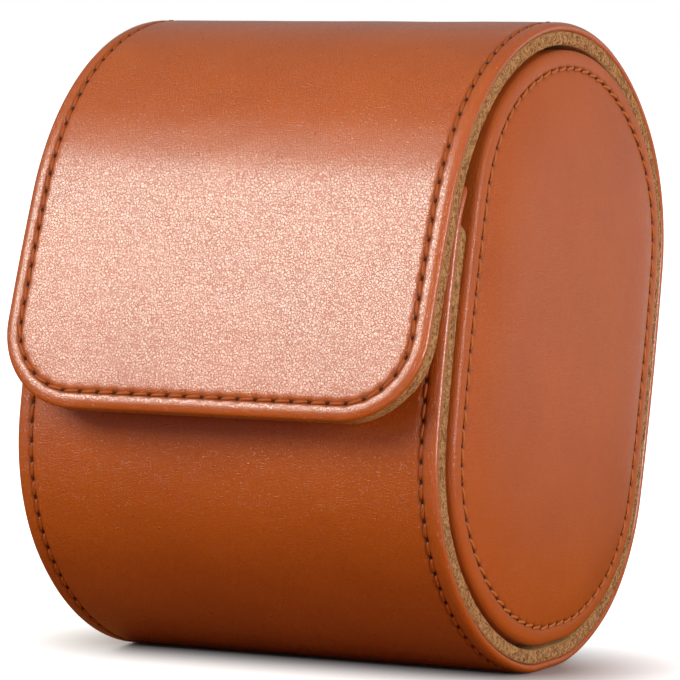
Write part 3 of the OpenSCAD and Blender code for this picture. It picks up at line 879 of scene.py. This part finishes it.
class Finish:
    """A material with one Principled shader, and short ways to add nodes to it."""

    def __init__(self, name, **values):
        self.material = bpy.data.materials.new(name)
        self.material.use_nodes = True
        self.tree = self.material.node_tree
        self.shader = self.tree.nodes["Principled BSDF"]
        self.place = self.tree.nodes.new("ShaderNodeTexCoord").outputs["Object"]
        for socket, value in values.items():
            self.shader.inputs[socket.replace("_", " ")].default_value = value

    def link(self, out, into):
        self.tree.links.new(out, into)

    def noise(self, size, detail=3.0, rough=0.55):
        node = self.tree.nodes.new("ShaderNodeTexNoise")
        self.link(self.place, node.inputs["Vector"])
        node.inputs["Scale"].default_value = 1 / size
        node.inputs["Detail"].default_value = detail
        node.inputs["Roughness"].default_value = rough
        return node.outputs["Fac"]

    def cells(self, size):
        """Distance from the borders of cells of this size."""
        node = self.tree.nodes.new("ShaderNodeTexVoronoi")
        node.feature = "DISTANCE_TO_EDGE"
        self.link(self.place, node.inputs["Vector"])
        node.inputs["Scale"].default_value = 1 / size
        return node.outputs["Distance"]

    def math(self, what, *values):
        node = self.tree.nodes.new("ShaderNodeMath")
        node.operation = what
        for socket, value in zip(node.inputs, values):
            if isinstance(value, (int, float)):
                socket.default_value = value
            else:
                self.link(value, socket)
        return node.outputs[0]

    def between(self, value, low, high, first, last):
        """A value from low to high, carried over to the range from first to last."""
        node = self.tree.nodes.new("ShaderNodeMapRange")
        for socket, number in zip(node.inputs[1:5], (low, high, first, last)):
            socket.default_value = number
        self.link(value, node.inputs["Value"])
        return node.outputs["Result"]

    def ramp(self, value, black, white):
        """Black up to one value and white from another."""
        node = self.tree.nodes.new("ShaderNodeValToRGB")
        self.link(value, node.inputs["Fac"])
        for element, at in zip(node.color_ramp.elements, (black, white)):
            element.position = at
        return node.outputs["Color"]

    def mix(self, share, a, b):
        node = self.tree.nodes.new("ShaderNodeMix")
        node.data_type = "RGBA"
        for index, value in ((0, share), (6, a), (7, b)):
            if isinstance(value, (int, float, tuple)):
                node.inputs[index].default_value = value
            else:
                self.link(value, node.inputs[index])
        return node.outputs[2]

    def bump(self, height, depth, below=None):
        node = self.tree.nodes.new("ShaderNodeBump")
        node.inputs["Strength"].default_value = 1.0
        node.inputs["Distance"].default_value = depth
        self.link(height, node.inputs["Height"])
        if below is not None:
            self.link(below, node.inputs["Normal"])
        return node.outputs["Normal"]

    def colour(self, out):
        self.link(out, self.shader.inputs["Base Color"])

    def normal(self, out):
        self.link(out, self.shader.inputs["Normal"])


print("a mid grey of 128 on screen is", round(srgb(128, 128, 128)[0], 3), "in a shader")

# %% [markdown]
# ## The leather's finish
# It is a pigmented calf with a fine pebbled grain: cells under half a millimetre wide with narrow valleys
# between them, a slow change of tone, and a thin waxy coat that gives the broad soft gloss. Plain cells look
# like a honeycomb, so a noise first bends the places where they are read. The valleys are darker and duller
# than the pebbles, in patches, and the seams are painted darker and duller still, as shade in their grooves.

# %% Leather
GRAIN, BEND_SIZE, BEND_FAR = 0.00044, 0.0009, 0.0007
# the brown of the painted shade along the seams and in their holes
SEAM_SHADE_BROWN = (0.07, 0.013, 0.002, 1)


def leather_finish(name, colour, deep, gloss, coat, rough):
    f = Finish(name, Coat_Roughness=0.25)
    warp = f.tree.nodes.new("ShaderNodeTexNoise")
    warp.inputs["Scale"].default_value = 1 / BEND_SIZE
    f.link(f.place, warp.inputs["Vector"])
    shift = f.tree.nodes.new("ShaderNodeVectorMath")
    shift.operation = "MULTIPLY_ADD"
    shift.inputs[1].default_value = (BEND_FAR,) * 3
    f.link(warp.outputs["Color"], shift.inputs[0])
    f.link(f.place, shift.inputs[2])
    f.place = shift.outputs[0]
    pebble = f.ramp(f.cells(GRAIN), 0.0, 0.12)
    worn = f.between(f.noise(0.006, 2.0), 0.35, 0.65, 0.55, 0.2)
    ridge = f.math("MAXIMUM", pebble, worn)
    fine = f.noise(0.00016, 2.0)
    slow = f.noise(0.018, 3.0)
    seam = f.tree.nodes.new("ShaderNodeAttribute")
    seam.attribute_name = "seam"
    tone = f.mix(slow, deep, colour)
    grain = f.mix(f.between(ridge, 0.0, 1.0, 0.55, 1.0), deep, tone)
    # painted shade: the seam attribute darkens the colour and dulls the shine along the seams
    f.colour(f.mix(seam.outputs["Fac"], grain, SEAM_SHADE_BROWN))
    shine = f.math("MULTIPLY", ridge, f.between(seam.outputs["Fac"], 0.0, 1.0, 1.0, 0.15))
    f.link(f.between(shine, 0.0, 1.0, 0.6 * gloss, gloss), f.shader.inputs["Specular IOR Level"])
    f.link(f.between(shine, 0.0, 1.0, 0.5 * coat, coat), f.shader.inputs["Coat Weight"])
    patchy = f.between(f.noise(0.0011, 2.0), 0.3, 0.7, rough - 0.03, rough + 0.04)
    f.link(patchy, f.shader.inputs["Roughness"])
    low = f.bump(f.noise(0.0045, 2.0), 0.0001)
    mid = f.bump(pebble, 0.000035, low)
    f.normal(f.bump(fine, 0.000008, mid))
    return f.material


WRAP_TAN, WRAP_DEEP = (0.70, 0.136, 0.007, 1), (0.50, 0.08, 0.003, 1)
CAP_TAN, CAP_DEEP = (0.66, 0.136, 0.012, 1), (0.48, 0.085, 0.006, 1)
wrap_leather = leather_finish("wrap_leather", WRAP_TAN, WRAP_DEEP, 1.0, 0.7, 0.3)
cap_leather = leather_finish("cap_leather", CAP_TAN, CAP_DEEP, 0.6, 0.15, 0.4)
print("leather grain:", round(GRAIN / MM, 2), "mm")

# %% [markdown]
# ## Suede, thread and the hidden pieces
# Split suede has no grain side: it is a short nap that lights up at its edges. Hair particles could make it,
# but they don't bend with a fold, so a mottled colour, a fine fibrous bump and a sheen make it. The raw edge
# is the same suede with a stronger mottle, as its fibres stand on end there. Thread is a waxed twist. The
# boards and the magnets are hidden, and get plain speckled finishes.

# %% Suede, thread and the hidden pieces
def suede_finish(name, colour, deep):
    f = Finish(name, Roughness=0.95, Specular_IOR_Level=0.1, Sheen_Weight=0.25, Sheen_Roughness=0.5)
    f.shader.inputs["Sheen Tint"].default_value = colour
    fibre = f.noise(0.0003, 2.0, 0.7)
    clump = f.noise(0.0009, 2.0)
    mottle = f.math("ADD", f.math("MULTIPLY", fibre, 0.65), f.math("MULTIPLY", clump, 0.35))
    f.colour(f.mix(f.ramp(mottle, 0.42, 0.57), deep, colour))
    f.normal(f.bump(fibre, 0.00012, f.bump(clump, 0.00015)))
    return f.material


def thread_finish(name, colour, deep):
    f = Finish(name, Roughness=0.5, Specular_IOR_Level=0.3)
    twist = f.noise(0.00018, 2.0)
    f.colour(f.mix(twist, deep, colour))
    f.normal(f.bump(twist, 0.00006))
    return f.material


def plain_finish(name, colour, deep, grain, rough, metal=0.0):
    f = Finish(name, Roughness=rough, Metallic=metal, Specular_IOR_Level=0.3 + 0.2 * metal)
    spots = f.noise(grain, 4.0)
    f.colour(f.mix(spots, deep, colour))
    f.normal(f.bump(spots, grain * 0.1))
    return f.material


suede = suede_finish("split_suede", srgb(206, 158, 104), srgb(170, 122, 76))
raw_suede = suede_finish("raw_suede", srgb(208, 156, 104), srgb(122, 78, 46))
lining = suede_finish("fine_suede", srgb(186, 142, 92), srgb(140, 100, 60))
wrap_yarn = thread_finish("wrap_thread", srgb(206, 104, 38), srgb(136, 58, 18))
cap_yarn = thread_finish("cap_thread", srgb(230, 136, 62), srgb(166, 80, 32))
# painted shadow for the dark ovals at the bottom of the needle holes
hole_shadow_paint = plain_finish("painted_hole_shadow", srgb(96, 38, 13), srgb(60, 22, 7), 0.0003, 0.95)
fibreboard = plain_finish("fibreboard", srgb(150, 138, 116), srgb(120, 106, 86), 0.0008, 0.85)
plated = plain_finish("plated_steel", srgb(205, 206, 210), srgb(180, 182, 188), 0.004, 0.3, 1.0)
print("finishes:", sorted(material.name for material in bpy.data.materials))

# %% [markdown]
# ## Dressing the frame
# Each piece now gets its finish, and the engineering solids that it stands for are hidden. A piece that rode
# on one body would tear away from its neighbour when the case opens; the wrap's sheets cross a fold, and here
# they are only baked in place.

# %% Wrap, lid and flap
UP_THE_BACK, OVER_THE_LID = (0.12, 0.99), (-0.903, -0.43)


def bend_between(pieces, at, way, reach=3.0):
    """Bakes each piece's place into its mesh; the start and end of a bend round the fold are worked out, but
    not used.
    """
    start, end = (leaned(0, at[0] + k * reach * way[0], at[1] + k * reach * way[1]) for k in (-1, 1))
    for piece in pieces:
        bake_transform(piece)


def dress(piece, material, slot, *nodes):
    """Gives a piece its finish and hides the engineering solids that it stands for; slot is not used."""
    piece.data.materials.clear()
    piece.data.materials.append(material)
    if nodes:
        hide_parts(*nodes)


hinge_at = np.array(CORNER + (CORNER_R + FACE) * toward(HINGE))
fold_at = np.array(CROWN + (CROWN_R + FACE) * toward(-FOLD))
bend_between([wrap_skin, wrap_thread, wrap_hole_shadows, wrap_suede], hinge_at, UP_THE_BACK)
bend_between([flap_skin, flap_thread, flap_hole_shadows, flap_suede], fold_at, OVER_THE_LID)

dress(wrap_skin, wrap_leather, "leather", "body_leather")
dress(flap_skin, wrap_leather, "leather", "lid_leather", "flap_leather")
dress(wrap_thread, wrap_yarn, "thread", "body_thread")
dress(flap_thread, wrap_yarn, "thread", "lid_thread", "flap_thread")
# the dark ovals of painted shadow in the needle holes
for shadow_pits in (wrap_hole_shadows, flap_hole_shadows, right_cap[2], left_cap[2]):
    dress(shadow_pits, hole_shadow_paint, "leather")
dress(wrap_suede, suede, "suede", "body_lining")
dress(flap_suede, suede, "suede", "lid_lining", "flap_lining")
for cut in (wrap_suede, flap_suede):
    cut.data.materials.append(raw_suede)
    for face in cut.data.polygons:
        sideways = abs(face.normal.x) > 0.5
        face.material_index = int(sideways)
print("folds at", hinge_at.round(2), "and", fold_at.round(2), "on the upright case")

# %% [markdown]
# The caps, the tub and the cushion all stay with the body. The caps' leather and the cushion are padded. The
# tub's suede also stands for the tub's board, which it wraps.
# The other boards and the magnets are hidden inside the leather, and their engineering solids are already
# right, so they only get a finish.

# %% Caps, tub and cushion
for side, (skin, thread, shadow_pits), disc in (("right", right_cap, right_disc), ("left", left_cap, left_disc)):
    dress(skin, cap_leather, "leather", side + "_cap_leather", side + "_cap_foam")
    dress(thread, cap_yarn, "thread", side + "_cap_thread")
    dress(disc, lining, "suede", side + "_cap_lining")
    for piece in (skin, thread, shadow_pits, disc):
        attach(piece, "body")
dress(tub_suede, lining, "suede", "tub_board", "tub_lining")
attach(tub_suede, "body")
dress(cushion, lining, "suede", "cushion_cover", "cushion_core", "cushion_right_end", "cushion_left_end")
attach(cushion, "body")

for name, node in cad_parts.items():
    for ending, finish in (("board", fibreboard), ("magnets", plated)):
        if name.endswith(ending):
            node.data.materials.clear()
            node.data.materials.append(finish)
            print(name, "is finished as", finish.name)

# %% [markdown]
# ## Camera
# A long lens from in front and a little to the right keeps the upright edges of the case almost parallel. A
# track-to constraint would aim it too, but three directions at right angles give its turn at once and keep it
# level. It looks at a place just beside the middle of the oval, which centres the case in the frame.

# %% Camera
AZ, EL = math.radians(27.57), math.radians(4.58)
DISTANCE, LENS, SENSOR = 0.7405, 234.58, 36.0
LEFT, BELOW = 0.00165, 0.00014

back = Vector((math.sin(AZ) * math.cos(EL), -math.cos(AZ) * math.cos(EL), math.sin(EL)))
right = Vector((math.cos(AZ), math.sin(AZ), 0))
above = back.cross(right)
aim = Vector(leaned(0, 0, 0)) - LEFT * right - BELOW * above
lens = bpy.data.cameras.new("camera")
lens.lens, lens.sensor_width = LENS, SENSOR
lens.clip_start, lens.clip_end = 0.05, 50.0
lens.dof.use_dof = False
camera = bpy.data.objects.new("camera", lens)
bpy.context.scene.collection.objects.link(camera)
camera.location = aim + DISTANCE * back
camera.rotation_euler = Matrix((right, above, back)).transposed().to_euler()
bpy.context.scene.camera = camera
print("camera at", [round(v, 4) for v in camera.location])

# %% [markdown]
# ## Floor
# The case stands on a white sweep. More light would turn the floor white, but would bleach the leather too.
# So the camera sees a pale floor that also gives off a little light, more of it away from the case, and none
# near its foot, which paints a shadow round the foot over the case's own shadow there. For the light that goes
# on to the case the floor is a deep tan, which keeps the leather rich near the ground, and it glows a little
# behind the case, where the end caps mirror it.

# %% Floor
FLOOR_HALF, CASE_END = 6, 0.034
corners = [(a * FLOOR_HALF, b * FLOOR_HALF, 0) for a, b in ((-1, -1), (1, -1), (1, 1), (-1, 1))]
floor_mesh = bpy.data.meshes.new("floor")
floor_mesh.from_pydata(corners, [], [(0, 1, 2, 3)])
floor = bpy.data.objects.new("floor", floor_mesh)
bpy.context.scene.collection.objects.link(floor)
paint = Finish("floor_paint", Roughness=0.9, Specular_IOR_Level=0.1)
path = paint.tree.nodes.new("ShaderNodeLightPath")
seen_here = path.outputs["Is Camera Ray"]
FLOOR_TAN, FLOOR_PALE = (0.28, 0.105, 0.028, 1), (0.68, 0.625, 0.61, 1)
paint.colour(paint.mix(seen_here, FLOOR_TAN, FLOOR_PALE))
spot = paint.tree.nodes.new("ShaderNodeSeparateXYZ")
paint.link(paint.place, spot.inputs[0])
across, deep_in = paint.math("POWER", spot.outputs["X"], 2.0), paint.math("POWER", spot.outputs["Y"], 2.0)
away = paint.math("SQRT", paint.math("ADD", across, deep_in))
glow = paint.tree.nodes.new("ShaderNodeEmission")
past_end = paint.math("SUBTRACT", paint.math("ABSOLUTE", spot.outputs["X"]), CASE_END)
beside = paint.math("MAXIMUM", past_end, 0.0)
touch = paint.math("SQRT", paint.math("ADD", paint.math("POWER", beside, 2.0), deep_in))
# painted shadow: the camera's glow is cut away near the case's foot and grows farther from the case
clear = paint.between(touch, 0.006, 0.03, 0.0, 0.9)
white = paint.math("ADD", clear, paint.between(away, 0.035, 0.17, 0.0, 0.36))
behind = paint.between(spot.outputs["Y"], 0.1, 0.45, 0.0, 0.75)
paint.link(paint.mix(seen_here, behind, white), glow.inputs["Color"])
both = paint.tree.nodes.new("ShaderNodeAddShader")
paint.link(paint.shader.outputs[0], both.inputs[0])
paint.link(glow.outputs[0], both.inputs[1])
paint.link(both.outputs[0], paint.tree.nodes["Material Output"].inputs["Surface"])
floor_mesh.materials.append(paint.material)
print("floor:", 2 * FLOOR_HALF, "m wide")

# %% [markdown]
# ## Surroundings
# The camera sees plain white behind the floor. The case sees a soft grey that is brighter behind it than in
# front, so that the end caps, which face past the camera, have something pale to mirror.

# %% Surroundings
world = bpy.data.worlds.new("studio")
world.use_nodes = True
bpy.context.scene.world = world
nodes, links = world.node_tree.nodes, world.node_tree.links
seen = nodes.new("ShaderNodeLightPath")
where = nodes.new("ShaderNodeTexCoord")
apart = nodes.new("ShaderNodeSeparateXYZ")
links.new(where.outputs["Generated"], apart.inputs[0])
depth = nodes.new("ShaderNodeMapRange")
GREY_FRONT, GREY_BACK = 0.15, 0.35
for socket, value in (("From Min", 0.6), ("From Max", 1.0), ("To Min", GREY_FRONT), ("To Max", GREY_BACK)):
    depth.inputs[socket].default_value = value
links.new(apart.outputs["Y"], depth.inputs["Value"])
share = nodes.new("ShaderNodeMapRange")
links.new(seen.outputs["Is Camera Ray"], share.inputs["Value"])
links.new(depth.outputs["Result"], share.inputs["To Min"])
share.inputs["To Max"].default_value = 1.0
links.new(share.outputs["Result"], nodes["Background"].inputs["Strength"])
nodes["Background"].inputs["Color"].default_value = (1, 1, 1, 1)
print("surroundings for the case:", GREY_FRONT, "in front and", GREY_BACK, "behind")

# %% [markdown]
# ## Lamps
# A soft box in front, on the left and above, lies where the flap mirrors it to the camera, and gives the flap
# its broad sheen. A weaker one over it carries the sheen softly up to the lid. Point lamps would make
# small hard glints instead. A third soft box, low on the right, lights the end cap.

# %% Lamps
def lamp(name, place, size, power, colour=(1, 1, 1)):
    """A rectangular soft box that faces the case."""
    light = bpy.data.lights.new(name, "AREA")
    light.shape, light.size, light.size_y = "RECTANGLE", size[0], size[1]
    light.energy, light.color = power, colour
    thing = bpy.data.objects.new(name, light)
    bpy.context.scene.collection.objects.link(thing)
    thing.location = place
    way = Vector((0, 0, 0.05)) - Vector(place)
    thing.rotation_euler = way.to_track_quat("-Z", "Y").to_euler()
    print(name, power, "W at", round(way.length, 2), "m")


FRONT_LIGHT = (0.96, 1.0, 0.92)
lamp("front_box", (-0.60, -0.89, 0.80), (0.75, 0.58), 11.8, FRONT_LIGHT)
lamp("front_veil", (-0.41, -0.61, 1.12), (0.75, 0.36), 1.3, FRONT_LIGHT)
lamp("right_fill", (1.05, -0.28, 0.2), (0.6, 0.6), 9.6)

view = bpy.context.scene.view_settings
view.view_transform = "Standard"
